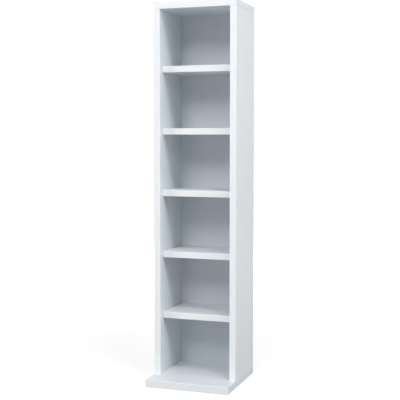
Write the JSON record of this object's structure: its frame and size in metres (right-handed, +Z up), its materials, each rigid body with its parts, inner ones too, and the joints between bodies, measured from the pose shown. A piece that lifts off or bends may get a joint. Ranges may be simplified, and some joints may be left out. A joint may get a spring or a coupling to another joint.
{
  "type": "disc storage tower",
  "caption": "Tall narrow open-front shelf tower in white faced board for disc cases, with a base plate reaching forward, shelves that slide out on hidden wires and a thin nailed back.",
  "frame": {"origin": "on the floor, under the middle of the base plate", "axes": "+Z up; -Y is the open front, +Y the back; +X is to the right seen from the front"},
  "size_m": [0.215, 0.215, 0.95],
  "materials": {
    "white_board": "white melamine-faced chipboard, satin, raw chipboard on hidden edges",
    "white_edging": "white plastic edge band, satin",
    "white_hardboard": "thin hardboard, white lacquer on the inside, bare brown at the back",
    "zinc_casting": "bare die-cast zinc",
    "plated_steel": "bright zinc plating",
    "white_plastic": "moulded white plastic",
    "beech": "bare beech"
  },
  "bodies": {
    "tower": {"base_plate": "white_board", "left_side_panel": "white_board", "right_side_panel": "white_board", "top_panel": "white_board", "back_panel": "white_hardboard", "base_front_edging": "white_edging", "base_left_edging": "white_edging", "base_right_edging": "white_edging", "top_front_edging": "white_edging", "top_left_edging": "white_edging", "top_right_edging": "white_edging", "left_side_edging": "white_edging", "right_side_edging": "white_edging", "top_cam_locks": "zinc_casting", "top_cam_caps": "white_plastic", "top_cam_bolts": "plated_steel", "top_dowels": "beech", "middle_shelf_cam_locks": "zinc_casting", "middle_shelf_cam_caps": "white_plastic", "middle_shelf_cam_bolts": "plated_steel", "middle_shelf_dowels": "beech", "base_screws": "plated_steel", "base_dowels": "beech", "back_panel_nails": "plated_steel", "middle_shelf": "white_board", "middle_shelf_edging": "white_edging", "bottom_shelf_wires": "plated_steel", "lower_shelf_wires": "plated_steel", "upper_shelf_wires": "plated_steel", "top_shelf_wires": "plated_steel"},
    "bottom_shelf": {"bottom_shelf": "white_board", "bottom_shelf_edging": "white_edging"},
    "lower_shelf": {"lower_shelf": "white_board", "lower_shelf_edging": "white_edging"},
    "upper_shelf": {"upper_shelf": "white_board", "upper_shelf_edging": "white_edging"},
    "top_shelf": {"top_shelf": "white_board", "top_shelf_edging": "white_edging"}
  },
  "joints": [
    {"name": "bottom_shelf_slide", "type": "slide", "parent": "tower", "child": "bottom_shelf", "axis": [0, -1, 0], "range_m": [0, 0.151]},
    {"name": "lower_shelf_slide", "type": "slide", "parent": "tower", "child": "lower_shelf", "axis": [0, -1, 0], "range_m": [0, 0.151]},
    {"name": "upper_shelf_slide", "type": "slide", "parent": "tower", "child": "upper_shelf", "axis": [0, -1, 0], "range_m": [0, 0.151]},
    {"name": "top_shelf_slide", "type": "slide", "parent": "tower", "child": "top_shelf", "axis": [0, -1, 0], "range_m": [0, 0.151]}
  ]
}
